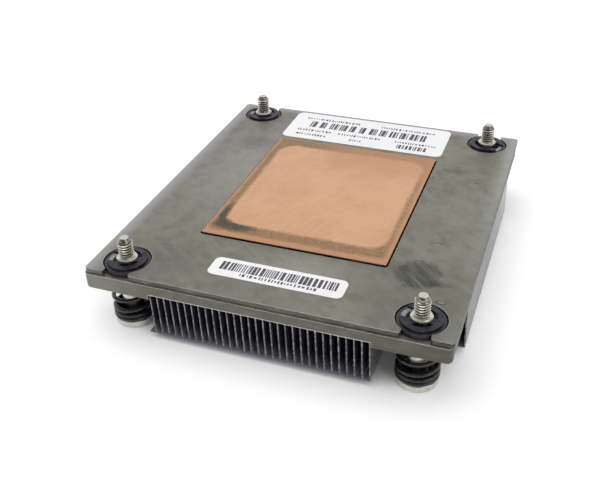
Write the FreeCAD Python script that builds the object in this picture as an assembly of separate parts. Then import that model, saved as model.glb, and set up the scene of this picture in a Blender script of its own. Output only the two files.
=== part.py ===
"""Passive server processor heatsink, lying on its screw heads with the contact face up.

A relieved base plate carries a stack of folded sheet fins below, and a copper contact
block framed by a stiffener plate above. Four captive spring screws hang in the corners.
Millimetres; X runs along the fin fronts, Y along the air flow, Z up from the screw heads.
"""
import FreeCAD, Part
import math
import os

from FreeCAD import Vector

# ---- plates ---------------------------------------------------------------------------
edge_land_left = 2.5           # sheet left between a washer's seat and the stiffener's side
edge_land_right = 2.9
edge_land_y = 0.5              # and between a washer's seat and its front or rear edge
stiffener_thickness = 1.6
stiffener_corner_radius = 0.8
base_overhang_y = 0.4          # the base plate stands this far proud, front and rear
base_overhang_left = 0.45      # and this far on the left
base_setback_right = 0.2       # it ends this far inside the stiffener on the right
base_thickness = 4.6
base_corner_radius = 1.5
base_edge_radius = 0.5         # ears' lower edges

# ---- contact block ----------------------------------------------------------------------
contact_width = 53.4
contact_depth = 62.8
contact_offset_x = -0.25
contact_offset_y = 0.7
contact_corner_radius = 0.6
contact_edge_chamfer = 0.15
contact_proud = 0.5            # height above the stiffener plate
contact_pocket_depth = 1.0     # how deep the block sits in the base plate
contact_pocket_clearance = 0.05
window_clearance = 0.45        # gap between the block and the stiffener's window

# ---- fin stack --------------------------------------------------------------------------
fin_sheet = 0.35
fin_pitch = 1.98
fin_height = 12.7              # from the relief's ceiling down to the lower flanges
fin_bend_radius = 0.5          # outside of the folds
fin_lean = 0.4                 # the fins' bottoms stand this far to the right of their tops
fin_flange_gap = 0.05          # between one fin's flange and the next fin
fin_end_inset = 0.25           # long fins end this far inside the base plate's faces
middle_fin_count = 31          # the fins that run between the springs
stack_centre_x = -0.4          # centre of the middle fins
fin_spring_gap = 1.5           # a fin nearer than this to a spring is a short one
short_fin_spring_gap = 7.2     # from a spring to the ends of the short fins beside it
relief_depth = 1.8             # cross-shaped step in the base that seats the flanges
relief_clearance = 0.25

# ---- captive screws ---------------------------------------------------------------------
screw_spacing_x = 80.0
screw_spacing_y = 98.0
head_diameter = 11.0
head_height = 2.0
head_edge_radius = 0.4
head_floor_drop = 2.1          # the heads reach this far below the fins
shoulder_diameter = 5.6
shoulder_chamfer = 0.3
collar_height = 0.8            # shoulder left above the retaining clip
thread_diameter = 4.0
thread_length = 5.7            # from the shoulder to the flat tip
tip_diameter = 2.3
tip_cone_height = 1.3
groove_depth = 0.55
recess_width = 5.0             # cross recess for the driver
recess_slot = 1.1
recess_depth = 1.8
screw_hole_clearance = 0.2     # radial, shoulder in the base plate

# ---- washers, clips and springs -----------------------------------------------------------
washer_outer_diameter = 12.5
washer_bore_clearance = 1.2    # radial, shoulder in the washer
washer_thickness = 1.4
washer_edge_chamfer = 0.2
washer_seat_clearance = 0.25   # radial, washer in the stiffener's keyhole
keyhole_slot_width = 7.5
keyhole_mouth_radius = 0.7
clip_inset = 0.85              # washer left bare round the clip
clip_thickness = 0.7
clip_ring_width = 1.5
clip_lug_width = 2.0
clip_mouth_width = 4.2
clip_bore_clearance = 0.05     # radial, clip in the groove
clip_side_clearance = 0.05     # groove wall to clip, each side
spring_overhang = 0.3          # the coil stands this far out round the head
spring_wire = 1.2
spring_head_coils = 2.1        # laid wire to wire on the head
spring_open_coils = 2.1
spring_ear_coils = 0.8         # laid wire to wire under the ear
spring_closed_gap = 0.05
spring_start_angle = 160       # where the wire begins on the head, in degrees
spring_ground = 0.4            # wire ground off at each end
spring_wire_sides = 6          # flats round the drawn wire
spring_steps = 8               # points of the path to one turn

# ---- labels -----------------------------------------------------------------------------
label_thickness = 0.1
rear_label_side_margin = 5.9   # to the washers' seats
rear_label_rear_margin = 1.4   # to the stiffener's rear edge
rear_label_front_margin = 2.05  # to the stiffener's window
rear_label_radius = 2.2
front_label_width = 37.0
front_label_depth = 7.9
front_label_x = 1.0
front_label_margin = 7.95      # to the stiffener's front edge
front_label_radius = 1.8

# ---- levels, from the floor up --------------------------------------------------------------
fin_bottom_z = head_floor_drop
relief_z = fin_bottom_z + fin_height
base_bottom_z = relief_z - relief_depth
base_top_z = base_bottom_z + base_thickness
stiffener_top_z = base_top_z + stiffener_thickness
contact_top_z = stiffener_top_z + contact_proud
washer_top_z = base_top_z + washer_thickness
clip_top_z = washer_top_z + clip_thickness
shoulder_top_z = clip_top_z + clip_side_clearance + collar_height

# ---- sizes that follow ------------------------------------------------------------------
seat_diameter = washer_outer_diameter + 2 * washer_seat_clearance
stiffener_left = -(screw_spacing_x + seat_diameter) / 2 - edge_land_left
stiffener_right = (screw_spacing_x + seat_diameter) / 2 + edge_land_right
stiffener_depth = screw_spacing_y + seat_diameter + 2 * edge_land_y
base_left = stiffener_left - base_overhang_left
base_right = stiffener_right - base_setback_right
base_depth = stiffener_depth + 2 * base_overhang_y
long_fin_depth = base_depth - 2 * fin_end_inset
spring_outer_diameter = head_diameter + 2 * spring_overhang
short_fin_depth = screw_spacing_y - spring_outer_diameter - 2 * short_fin_spring_gap
groove_radius = shoulder_diameter / 2 - groove_depth
washer_inner_diameter = shoulder_diameter + 2 * washer_bore_clearance
clip_outer_diameter = washer_outer_diameter - 2 * clip_inset

# name, side in X, side in Y, direction in degrees that the clip's mouth faces
corners = [
    ("front_left", -1, -1, 185),
    ("front_right", 1, -1, 165),
    ("rear_left", -1, 1, 180),
    ("rear_right", 1, 1, -25),
]


def export(name, shape):
    shape.exportStep("parts/" + name + ".step")


def rounded_plate(width, depth, radius, bottom, height, x=0.0, y=0.0):
    """Slab with rounded upright corners, centred on (x, y)."""
    w, d, r = width / 2, depth / 2, radius
    edges = []
    corner_centres = [(w - r, d - r), (r - w, d - r), (r - w, r - d), (w - r, r - d)]
    arcs = []
    for i, (cx, cy) in enumerate(corner_centres):
        a = math.radians(90 * i)
        points = [Vector(x + cx + r * math.cos(t), y + cy + r * math.sin(t), bottom)
                  for t in (a, a + math.pi / 4, a + math.pi / 2)]
        arcs.append(points)
    for i, points in enumerate(arcs):
        edges.append(Part.Arc(*points).toShape())
        edges.append(Part.LineSegment(points[2], arcs[(i + 1) % 4][0]).toShape())
    return Part.Face(Part.Wire(edges)).extrude(Vector(0, 0, height))


def block(x0, x1, y0, y1, z0, z1):
    return Part.makeBox(x1 - x0, y1 - y0, z1 - z0, Vector(x0, y0, z0))


def disc(x, y, diameter, bottom, height):
    return Part.makeCylinder(diameter / 2, height, Vector(x, y, bottom))


def screw_axis(side_x, side_y):
    return side_x * screw_spacing_x / 2, side_y * screw_spacing_y / 2


def upright_edges(shape, near):
    """Edges parallel to Z that pass within 0.05 of one of the XY points."""
    found = []
    for edge in shape.Edges:
        box = edge.BoundBox
        if box.XLength < 1e-4 and box.YLength < 1e-4 and box.ZLength > 1e-3:
            if any(math.hypot(box.XMin - px, box.YMin - py) < 0.05 for px, py in near):
                found.append(edge)
    return found


def rim_edges(shape, level):
    """Edges that lie in the horizontal plane at this level."""
    return [edge for edge in shape.Edges
            if abs(edge.BoundBox.ZMin - level) < 1e-4 and abs(edge.BoundBox.ZMax - level) < 1e-4]


def middle_fin_x(index):
    return stack_centre_x + (index - (middle_fin_count - 1) / 2) * fin_pitch


def is_long(x):
    """Whether a fin that stands at x can run the whole depth, between the springs."""
    limit = (screw_spacing_x - spring_outer_diameter) / 2 - fin_spring_gap
    low_right = x + fin_sheet / 2 + fin_lean
    return low_right - fin_pitch > -limit and low_right < limit


def stack_walls():
    """X of the relief's walls beside the outermost long fins."""
    long_fins = [x for x in map(middle_fin_x, range(middle_fin_count)) if is_long(x)]
    side = fin_sheet / 2 + relief_clearance
    return min(long_fins) - side, max(long_fins) + side


def base_plate():
    """Thick plate whose four corner ears stay full thickness around a crossed relief."""
    plate = rounded_plate(base_right - base_left, base_depth, base_corner_radius,
                          base_bottom_z, base_thickness, (base_left + base_right) / 2)
    wall_left, wall_right = stack_walls()
    reach_x, reach_y = base_right - base_left, base_depth
    side = short_fin_depth / 2 + relief_clearance
    relief = block(wall_left, wall_right, -reach_y, reach_y, 0, relief_z)
    relief = relief.fuse(block(-reach_x, reach_x, -side, side, 0, relief_z))
    plate = plate.cut(relief).removeSplitter()
    plate = plate.makeFillet(base_edge_radius, rim_edges(plate, base_bottom_z))
    pocket = rounded_plate(contact_width + 2 * contact_pocket_clearance,
                           contact_depth + 2 * contact_pocket_clearance,
                           contact_corner_radius + contact_pocket_clearance,
                           base_top_z - contact_pocket_depth, contact_pocket_depth,
                           contact_offset_x, contact_offset_y)
    plate = plate.cut(pocket)
    for _, side_x, side_y, _ in corners:
        x, y = screw_axis(side_x, side_y)
        hole = disc(x, y, shoulder_diameter + 2 * screw_hole_clearance,
                    base_bottom_z, base_thickness)
        plate = plate.cut(hole)
    return plate


def stiffener_plate():
    """Sheet frame round the contact block, with a keyhole open to the edge at each screw."""
    sheet = rounded_plate(stiffener_right - stiffener_left, stiffener_depth,
                          stiffener_corner_radius, base_top_z, stiffener_thickness,
                          (stiffener_left + stiffener_right) / 2)
    window = rounded_plate(contact_width + 2 * window_clearance,
                           contact_depth + 2 * window_clearance,
                           contact_corner_radius + window_clearance,
                           base_top_z, stiffener_thickness,
                           contact_offset_x, contact_offset_y)
    sheet = sheet.cut(window)
    mouths = []
    for _, side_x, side_y, _ in corners:
        x, y = screw_axis(side_x, side_y)
        edge_y = side_y * stiffener_depth / 2
        seat = disc(x, y, seat_diameter, base_top_z, stiffener_thickness)
        slot = block(x - keyhole_slot_width / 2, x + keyhole_slot_width / 2,
                     min(y, 2 * edge_y), max(y, 2 * edge_y), base_top_z, stiffener_top_z)
        sheet = sheet.cut(seat.fuse(slot))
        mouths += [(x - keyhole_slot_width / 2, edge_y), (x + keyhole_slot_width / 2, edge_y)]
    return sheet.makeFillet(keyhole_mouth_radius, upright_edges(sheet, mouths))


def contact_block():
    """Copper block that the processor's lid presses on."""
    bottom = base_top_z - contact_pocket_depth
    slab = rounded_plate(contact_width, contact_depth, contact_corner_radius,
                         bottom, contact_top_z - bottom, contact_offset_x, contact_offset_y)
    return slab.makeChamfer(contact_edge_chamfer, rim_edges(slab, contact_top_z))


def folded_fin(x, depth, flange_limit):
    """Sheet fin standing at x, folded to the left along its top and its bottom.

    The upper flange seats in the relief, and the lower one closes the channel beside it.
    """
    right, left = x + fin_sheet / 2, x - fin_sheet / 2
    low_right, low_left = right + fin_lean, left + fin_lean
    flange_end = max(right - fin_pitch + fin_flange_gap, flange_limit)
    low_flange_end = low_right - fin_pitch + fin_flange_gap
    inner = fin_bend_radius - fin_sheet
    top, under = relief_z, relief_z - fin_sheet
    bottom, over = fin_bottom_z, fin_bottom_z + fin_sheet
    y = -depth / 2
    s = math.sqrt(0.5)

    def at(px, pz):
        return Vector(px, y, pz)

    def line(a, b):
        return Part.LineSegment(a, b).toShape()

    def bend(x_centre, z_centre, radius, rise, first, last):
        """Quarter turn to the right of its centre, above it or below it."""
        middle = at(x_centre + s * radius, z_centre + rise * s * radius)
        return Part.Arc(first, middle, last).toShape()

    low_bend, high_bend = bottom + fin_bend_radius, top - fin_bend_radius
    outline = [at(low_flange_end, bottom), at(low_right - fin_bend_radius, bottom),
               at(low_right, low_bend), at(right, high_bend),
               at(right - fin_bend_radius, top), at(flange_end, top), at(flange_end, under),
               at(left - inner, under), at(left, under - inner), at(low_left, over + inner),
               at(low_left - inner, over), at(low_flange_end, over)]
    edges = [
        line(outline[0], outline[1]),
        bend(low_right - fin_bend_radius, low_bend, fin_bend_radius, -1, *outline[1:3]),
        line(outline[2], outline[3]),
        bend(right - fin_bend_radius, high_bend, fin_bend_radius, 1, *outline[3:5]),
        line(outline[4], outline[5]),
        line(outline[5], outline[6]),
        line(outline[6], outline[7]),
        bend(left - inner, under - inner, inner, 1, *outline[7:9]),
        line(outline[8], outline[9]),
        bend(low_left - inner, over + inner, inner, -1, *outline[9:11]),
        line(outline[10], outline[11]),
        line(outline[11], outline[0]),
    ]
    return Part.Face(Part.Wire(edges)).extrude(Vector(0, depth, 0))


def middle_fin(index):
    x = middle_fin_x(index)
    if is_long(x):
        return folded_fin(x, long_fin_depth, stack_walls()[0] + fin_flange_gap)
    return folded_fin(x, short_fin_depth, base_left)


def side_fins(side_x):
    """Short fins that carry on the middle fins' pitch as far as the stiffener's side."""
    if side_x < 0:
        start = middle_fin_x(0)
        room = start - fin_bend_radius - stiffener_left
    else:
        start = middle_fin_x(middle_fin_count - 1)
        room = stiffener_right - start - fin_sheet / 2
    fins = [folded_fin(start + side_x * (i + 1) * fin_pitch, short_fin_depth, base_left)
            for i in range(int(room // fin_pitch))]
    return Part.makeCompound(fins)


def cross_wire(reach, half_slot, level):
    """Twelve-sided outline of a plus sign, centred on the screw's axis."""
    quarter = [(reach, -half_slot), (reach, half_slot), (half_slot, half_slot)]
    points = []
    for turn in range(4):
        a = math.radians(90 * turn)
        for px, py in quarter:
            points.append(Vector(px * math.cos(a) - py * math.sin(a),
                                 px * math.sin(a) + py * math.cos(a), level))
    return Part.makePolygon(points + points[:1])


def captive_screw():
    """Shouldered screw, head down: turned body, clip groove, threaded end and cross recess."""
    head_r, shoulder_r = head_diameter / 2, shoulder_diameter / 2
    thread_r, tip_r = thread_diameter / 2, tip_diameter / 2
    groove_low = washer_top_z - clip_side_clearance
    groove_high = clip_top_z + clip_side_clearance
    tip_z = shoulder_top_z + thread_length
    round_start = Vector(head_r - head_edge_radius, 0, 0)
    round_end = Vector(head_r, 0, head_edge_radius)
    round_mid = Vector(head_r - head_edge_radius * (1 - math.sqrt(0.5)), 0,
                       head_edge_radius * (1 - math.sqrt(0.5)))
    steps = [(head_r, head_height), (shoulder_r, head_height),
             (shoulder_r, groove_low), (groove_radius, groove_low),
             (groove_radius, groove_high), (shoulder_r, groove_high),
             (shoulder_r, shoulder_top_z - shoulder_chamfer),
             (shoulder_r - shoulder_chamfer, shoulder_top_z), (thread_r, shoulder_top_z),
             (thread_r, tip_z - tip_cone_height), (tip_r, tip_z), (0, tip_z)]
    outline = [Vector(r, 0, z) for r, z in steps]
    profile = [Part.LineSegment(Vector(0, 0, 0), round_start).toShape(),
               Part.Arc(round_start, round_mid, round_end).toShape()]
    chain = [round_end] + outline + [Vector(0, 0, 0)]
    profile += [Part.LineSegment(a, b).toShape() for a, b in zip(chain, chain[1:])]
    body = Part.Face(Part.Wire(profile)).revolve(Vector(0, 0, 0), Vector(0, 0, 1), 360)
    recess = Part.makeLoft([cross_wire(recess_width / 2, recess_slot / 2, 0),
                            cross_wire(recess_slot, recess_slot / 3, recess_depth)],
                           True, True)
    return body.cut(recess)


def spring_path(low, high):
    """Line of the wire: closed coils at both ends, open coils between."""
    closed_pitch = spring_wire + spring_closed_gap
    closed_rise = (spring_head_coils + spring_ear_coils) * closed_pitch
    coils = spring_head_coils + spring_open_coils + spring_ear_coils
    open_pitch = (high - low - closed_rise) / spring_open_coils
    mean_radius = (spring_outer_diameter - spring_wire) / 2
    count = round(coils * spring_steps)
    points = []
    for i in range(count + 1):
        turn = coils * i / count
        open_turn = min(max(turn - spring_head_coils, 0), spring_open_coils)
        rise = (turn - open_turn) * closed_pitch + open_turn * open_pitch
        a = math.radians(spring_start_angle) + 2 * math.pi * turn
        points.append(Vector(mean_radius * math.cos(a), mean_radius * math.sin(a), low + rise))
    line = Part.BSplineCurve()
    line.interpolate(points)
    return Part.Wire(line.toShape()), points[0]


def compression_spring():
    """Coil between the screw's head and the ear above it, its end coils closed and ground."""
    path, start = spring_path(head_height + spring_wire / 2 - spring_ground,
                              base_bottom_z - spring_wire / 2 + spring_ground)
    wire_r = spring_wire / 2
    angles = [2 * math.pi * (i + 0.5) / spring_wire_sides for i in range(spring_wire_sides)]
    outward = Vector(start.x, start.y, 0).normalize()
    ring = [start + outward * (wire_r * math.cos(a)) + Vector(0, 0, wire_r * math.sin(a))
            for a in angles]
    coil = path.makePipeShell([Part.makePolygon(ring + ring[:1])], True, True)
    reach = spring_outer_diameter
    return coil.common(block(-reach, reach, -reach, reach, head_height, base_bottom_z))


def washer():
    """Moulded ring in the keyhole's round seat, under the retaining clip."""
    ring = disc(0, 0, washer_outer_diameter, base_top_z, washer_thickness)
    ring = ring.cut(disc(0, 0, washer_inner_diameter, base_top_z, washer_thickness))
    outer_rim = [edge for edge in rim_edges(ring, washer_top_z)
                 if edge.BoundBox.XLength > washer_inner_diameter + 0.1]
    return ring.makeChamfer(washer_edge_chamfer, outer_rim)


def retaining_clip():
    """E-shaped ring: an open band with three lugs that reach into the screw's groove."""
    bore = 2 * (groove_radius + clip_bore_clearance)
    reach = clip_outer_diameter
    band = disc(0, 0, clip_outer_diameter, washer_top_z, clip_thickness)
    band = band.cut(disc(0, 0, clip_outer_diameter - 2 * clip_ring_width,
                         washer_top_z, clip_thickness))
    lug_reach = clip_outer_diameter / 2 - clip_ring_width / 2
    lug = block(0, lug_reach, -clip_lug_width / 2, clip_lug_width / 2,
                washer_top_z, clip_top_z)
    axis = Vector(0, 0, 1)
    for angle in (180, 62, -62):
        band = band.fuse(lug.rotated(Vector(0, 0, 0), axis, angle))
    mouth = block(0, reach, -clip_mouth_width / 2, clip_mouth_width / 2,
                  washer_top_z, clip_top_z)
    band = band.cut(disc(0, 0, bore, washer_top_z, clip_thickness)).cut(mouth)
    return band.removeSplitter()


def label(width, depth, radius, x, y):
    return rounded_plate(width, depth, radius, stiffener_top_z, label_thickness, x, y)


def rear_label():
    """Film that fills the strip between the window and the rear edge, less its margins."""
    window_y = contact_offset_y + contact_depth / 2 + window_clearance
    front = window_y + rear_label_front_margin
    rear = stiffener_depth / 2 - rear_label_rear_margin
    width = screw_spacing_x - seat_diameter - 2 * rear_label_side_margin
    return label(width, rear - front, rear_label_radius, contact_offset_x, (rear + front) / 2)


def front_label():
    y = front_label_margin + front_label_depth / 2 - stiffener_depth / 2
    return label(front_label_width, front_label_depth, front_label_radius, front_label_x, y)


def main():
    os.makedirs("parts", exist_ok=True)
    export("base_plate", base_plate())
    export("stiffener_plate", stiffener_plate())
    export("contact_block", contact_block())

    for i in range(middle_fin_count):
        export("fin_%02d" % (i + 1), middle_fin(i))
    export("side_fins_left", side_fins(-1))
    export("side_fins_right", side_fins(1))

    screw, spring, ring, clip = captive_screw(), compression_spring(), washer(), retaining_clip()
    for name, side_x, side_y, mouth in corners:
        x, y = screw_axis(side_x, side_y)
        place = Vector(x, y, 0)
        export("screw_" + name, screw.translated(place))
        export("spring_" + name, spring.translated(place))
        export("washer_" + name, ring.translated(place))
        turned = clip.rotated(Vector(0, 0, 0), Vector(0, 0, 1), mouth)
        export("clip_" + name, turned.translated(place))

    export("label_rear", rear_label())
    export("label_front", front_label())


main()
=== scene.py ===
import math
import random

import bmesh
import bpy
from mathutils import Matrix, Vector


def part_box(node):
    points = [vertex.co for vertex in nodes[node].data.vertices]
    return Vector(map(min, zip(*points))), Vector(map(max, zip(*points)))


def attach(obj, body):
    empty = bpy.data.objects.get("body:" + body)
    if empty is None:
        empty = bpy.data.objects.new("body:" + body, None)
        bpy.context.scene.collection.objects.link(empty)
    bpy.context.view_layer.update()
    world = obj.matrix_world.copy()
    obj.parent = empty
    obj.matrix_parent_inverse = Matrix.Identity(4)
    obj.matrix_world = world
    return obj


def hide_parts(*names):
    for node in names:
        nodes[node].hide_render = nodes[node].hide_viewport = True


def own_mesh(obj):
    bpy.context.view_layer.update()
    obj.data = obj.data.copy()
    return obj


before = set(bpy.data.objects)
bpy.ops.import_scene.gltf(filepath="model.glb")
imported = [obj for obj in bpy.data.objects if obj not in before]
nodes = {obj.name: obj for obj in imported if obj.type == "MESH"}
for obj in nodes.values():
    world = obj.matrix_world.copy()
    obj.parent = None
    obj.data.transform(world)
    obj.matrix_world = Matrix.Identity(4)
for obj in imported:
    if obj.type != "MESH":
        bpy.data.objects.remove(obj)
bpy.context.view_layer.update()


# ---- Base plate ---------------------------------------------------------------------------
# A milled plate with a dull grey-green plating, which carries every other piece. Its corner
# ears stay full thickness. Its edges are rubbed bright and carry a painted highlight, and its
# upright faces carry painted shade, lighter at the left end and darker at the right.

mm = 0.001
base_low, base_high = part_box("base_plate")
plating_metallic = 0.75
worn_highlight_metallic = 0.25
shaded_length = 40.0 * mm


def srgb(red, green, blue):
    """Linear colour, with alpha, of three display values from 0 to 255."""
    shares = (red / 255, green / 255, blue / 255)
    linear = [s / 12.92 if s <= 0.04045 else ((s + 0.055) / 1.055) ** 2.4 for s in shares]
    return (*linear, 1.0)


def feed(tree, node, inputs):
    """Sets or links a node's inputs, each given as a value or a socket."""
    for name, value in inputs.items():
        if isinstance(value, bpy.types.NodeSocket):
            tree.links.new(value, node.inputs[name])
        else:
            node.inputs[name].default_value = value


def put(tree, kind, inputs=None, **settings):
    """A shader node, with its settings and its inputs."""
    node = tree.nodes.new("ShaderNode" + kind)
    for name, value in settings.items():
        setattr(node, name, value)
    feed(tree, node, inputs or {})
    return node


def calc(tree, operation, *values, clamp=False):
    """Result socket of a Math node."""
    inputs = dict(enumerate(values))
    return put(tree, "Math", inputs, operation=operation, use_clamp=clamp).outputs[0]


def tint(tree, factor, first, second):
    """Colour that goes from first to second with factor."""
    inputs = {"Factor": factor, 6: first, 7: second}
    return put(tree, "Mix", inputs, data_type="RGBA").outputs[2]


def ramp(tree, value, low, high, to_low=0.0, to_high=1.0):
    """Value carried smoothly from low..high to to_low..to_high."""
    inputs = {"Value": value, "From Min": low, "From Max": high,
              "To Min": to_low, "To Max": to_high}
    return put(tree, "MapRange", inputs, interpolation_type="SMOOTHSTEP").outputs[0]


def new_group(name, inputs, outputs):
    """Empty shader node group, with its input and output nodes."""
    tree = bpy.data.node_groups.new(name, "ShaderNodeTree")
    for label, kind in inputs:
        tree.interface.new_socket(label, in_out="INPUT", socket_type="NodeSocket" + kind)
    for label, kind in outputs:
        tree.interface.new_socket(label, in_out="OUTPUT", socket_type="NodeSocket" + kind)
    return tree, tree.nodes.new("NodeGroupInput").outputs, tree.nodes.new("NodeGroupOutput").inputs


def place_group(tree, group, inputs):
    """Outputs of a node group placed in this tree."""
    node = tree.nodes.new("ShaderNodeGroup")
    node.node_tree = group
    feed(tree, node, inputs)
    return node.outputs


def times(tree, *values):
    """Product of two or more values or masks."""
    product = values[0]
    for value in values[1:]:
        product = calc(tree, "MULTIPLY", product, value)
    return product


def part_of(tree, vector):
    """X, Y and Z sockets of a vector."""
    return put(tree, "SeparateXYZ", {0: vector}).outputs


def surface_normal(tree):
    """The way the surface faces before any bump."""
    return tree.nodes.new("ShaderNodeNewGeometry").outputs["Normal"]


def make_blotches():
    """Cloudy variation from 0 to 1, at a scale in features to the metre."""
    tree, given, result = new_group("blotches", [("Vector", "Vector"), ("Scale", "Float"),
                                                 ("Low", "Float"), ("High", "Float")],
                                    [("Mask", "Float")])
    noise = put(tree, "TexNoise", {"Vector": given["Vector"], "Scale": given["Scale"],
                                   "Detail": 5.0, "Roughness": 0.6, "Distortion": 0.4})
    mask = put(tree, "MapRange", {"Value": noise.outputs[0], "From Min": given["Low"],
                                  "From Max": given["High"]}, interpolation_type="SMOOTHSTEP")
    tree.links.new(mask.outputs[0], result["Mask"])
    return tree


def make_edge_wear_and_highlight():
    """Mask that is 1 on a piece's sharp edges, and the normal that rounds them."""
    tree, given, result = new_group("edge_wear_and_highlight", [("Radius", "Float"), ("Vector", "Vector")],
                                    [("Mask", "Float"), ("Normal", "Vector")])
    rounded = put(tree, "Bevel", {"Radius": given["Radius"]}, samples=6).outputs[0]
    along = put(tree, "VectorMath", {0: rounded, 1: surface_normal(tree)},
                operation="DOT_PRODUCT")
    turned = ramp(tree, along.outputs["Value"], 0.995, 0.86)
    breaks = put(tree, "TexNoise", {"Vector": given["Vector"], "Scale": 900.0, "Detail": 3.0})
    mask = times(tree, turned, ramp(tree, breaks.outputs[0], 0.25, 0.6, 0.45, 1.0))
    tree.links.new(mask, result["Mask"])
    tree.links.new(rounded, result["Normal"])
    return tree


def make_shade_line():
    """Share of the edges' wear and painted highlight that is kept: little along the right side,
    which stays dark.
    """
    tree, given, result = new_group("shade_line", [("Vector", "Vector"), ("Side", "Float")],
                                    [("Share", "Float")])
    inward = calc(tree, "SUBTRACT", given["Side"], part_of(tree, given["Vector"])["X"])
    tree.links.new(ramp(tree, inward, 0.1 * mm, 0.9 * mm, 0.1, 1.0), result["Share"])
    return tree


def make_plating():
    """Colour, roughness and height of the dull plating that both plates have."""
    tree, given, result = new_group("plating", [("Vector", "Vector")],
                                    [("Color", "Color"), ("Roughness", "Float"),
                                     ("Height", "Float")])
    where = given["Vector"]
    large = place_group(tree, blotches, {"Vector": where, "Scale": 38.0,
                                         "Low": 0.35, "High": 0.68})["Mask"]
    middle = place_group(tree, blotches, {"Vector": where, "Scale": 250.0,
                                          "Low": 0.4, "High": 0.68})["Mask"]
    fine = put(tree, "TexNoise", {"Vector": where, "Scale": 2600.0, "Detail": 2.0}).outputs[0]
    colour = tint(tree, large, srgb(138, 138, 128), srgb(146, 145, 135))
    colour = tint(tree, times(tree, middle, 0.45), colour, srgb(122, 119, 106))
    colour = tint(tree, ramp(tree, fine, 0.3, 0.7, 0.0, 0.12), colour, srgb(112, 113, 104))
    rough = calc(tree, "ADD", 0.44, times(tree, middle, 0.10))
    tree.links.new(colour, result["Color"])
    tree.links.new(rough, result["Roughness"])
    tree.links.new(fine, result["Height"])
    return tree


def make_upright_shade():
    """Mask that is 1 on upright faces, where the plates' edges were milled or sheared; these faces
    take painted shade.
    """
    tree, given, result = new_group("upright_shade", [("Vector", "Vector")], [("Mask", "Float")])
    facing = part_of(tree, surface_normal(tree))
    upright = ramp(tree, calc(tree, "ABSOLUTE", facing["Z"]), 0.75, 0.3)
    drawn = put(tree, "Mapping", {"Vector": given["Vector"], "Scale": (0.2, 0.2, 1.0)}).outputs[0]
    uneven = put(tree, "TexNoise", {"Vector": drawn, "Scale": 700.0, "Detail": 4.0}).outputs[0]
    mask = times(tree, upright, ramp(tree, uneven, 0.3, 0.65, 0.72, 1.0))
    tree.links.new(mask, result["Mask"])
    return tree


blotches = make_blotches()
edge_wear_and_highlight = make_edge_wear_and_highlight()
shade_line = make_shade_line()
plating = make_plating()
upright_shade = make_upright_shade()


def new_material(name, **constants):
    """Material with its Principled shader, whose plain values are set on its own sockets."""
    material = bpy.data.materials.new(name)
    material.use_nodes = True
    tree = material.node_tree
    shader = tree.nodes["Principled BSDF"]
    for socket, value in constants.items():
        shader.inputs[socket.replace("_", " ")].default_value = value
    where = tree.nodes.new("ShaderNodeTexCoord").outputs["Object"]
    return material, tree, shader, where


def connect(tree, shader, **sockets):
    """Links values that change over the surface to the shader's sockets."""
    for socket, source in sockets.items():
        tree.links.new(source, shader.inputs[socket.replace("_", " ")])


def cover(names, material):
    """Gives CAD nodes a material in place of their plain one."""
    for name in names:
        slots = nodes[name].material_slots
        if not slots:
            nodes[name].data.materials.append(material)
        for material_slot in slots:
            material_slot.material = material


def base_plate_finish():
    material, tree, shader, where = new_material("plated_base")
    coat = place_group(tree, plating, {"Vector": where})
    edge = place_group(tree, edge_wear_and_highlight, {"Radius": 0.35 * mm, "Vector": where})
    milled_side_shade = place_group(tree, upright_shade, {"Vector": where})["Mask"]
    # Upright faces painted darker: painted shade, lighter toward the left end and darker toward the
    # right.
    colour = tint(tree, milled_side_shade, coat["Color"], srgb(104, 103, 93))
    across = part_of(tree, where)["X"]
    left_light = ramp(tree, across, base_low.x + 22.0 * mm, base_low.x + 4.0 * mm, 0.0, 0.7)
    colour = tint(tree, times(tree, milled_side_shade, left_light), colour, srgb(142, 141, 133))
    right_shade = ramp(tree, across, base_high.x - shaded_length, base_high.x, 0.0, 0.6)
    colour = tint(tree, times(tree, milled_side_shade, right_shade), colour, srgb(80, 79, 70))
    # Edges lightened toward near white, kept low along the right side: wear and a painted
    # highlight.
    share = place_group(tree, shade_line, {"Vector": where, "Side": base_high.x})["Share"]
    wear_and_highlight = times(tree, edge["Mask"], share)
    colour = tint(tree, wear_and_highlight, colour, srgb(228, 227, 218))
    bump = put(tree, "Bump", {"Height": coat["Height"], "Strength": 0.12, "Distance": 0.02 * mm,
                              "Normal": edge["Normal"]})
    metallic = ramp(tree, wear_and_highlight, 0.0, 1.0, plating_metallic, worn_highlight_metallic)
    connect(tree, shader, Base_Color=colour, Roughness=coat["Roughness"], Metallic=metallic,
            Normal=bump.outputs[0])
    return material


cover(["base_plate"], base_plate_finish())


# ---- Fin stack ----------------------------------------------------------------------------
# Rolled aluminium sheet, each fin folded along its top and bottom and soldered by its upper
# flange into the base plate's relief. The cut ends are nicked bright metal, with a painted
# highlight on the upper flanges' ends. The channels carry painted shade, lighter near the
# bottom, and the outer fins a painted shade toward the front.

fin_low, fin_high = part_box("fin_16")
crevice_reach = 5.0 * mm
lower_light_height = 4.5 * mm
upper_flange = 0.35 * mm
lower_fold = 0.4 * mm


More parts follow.
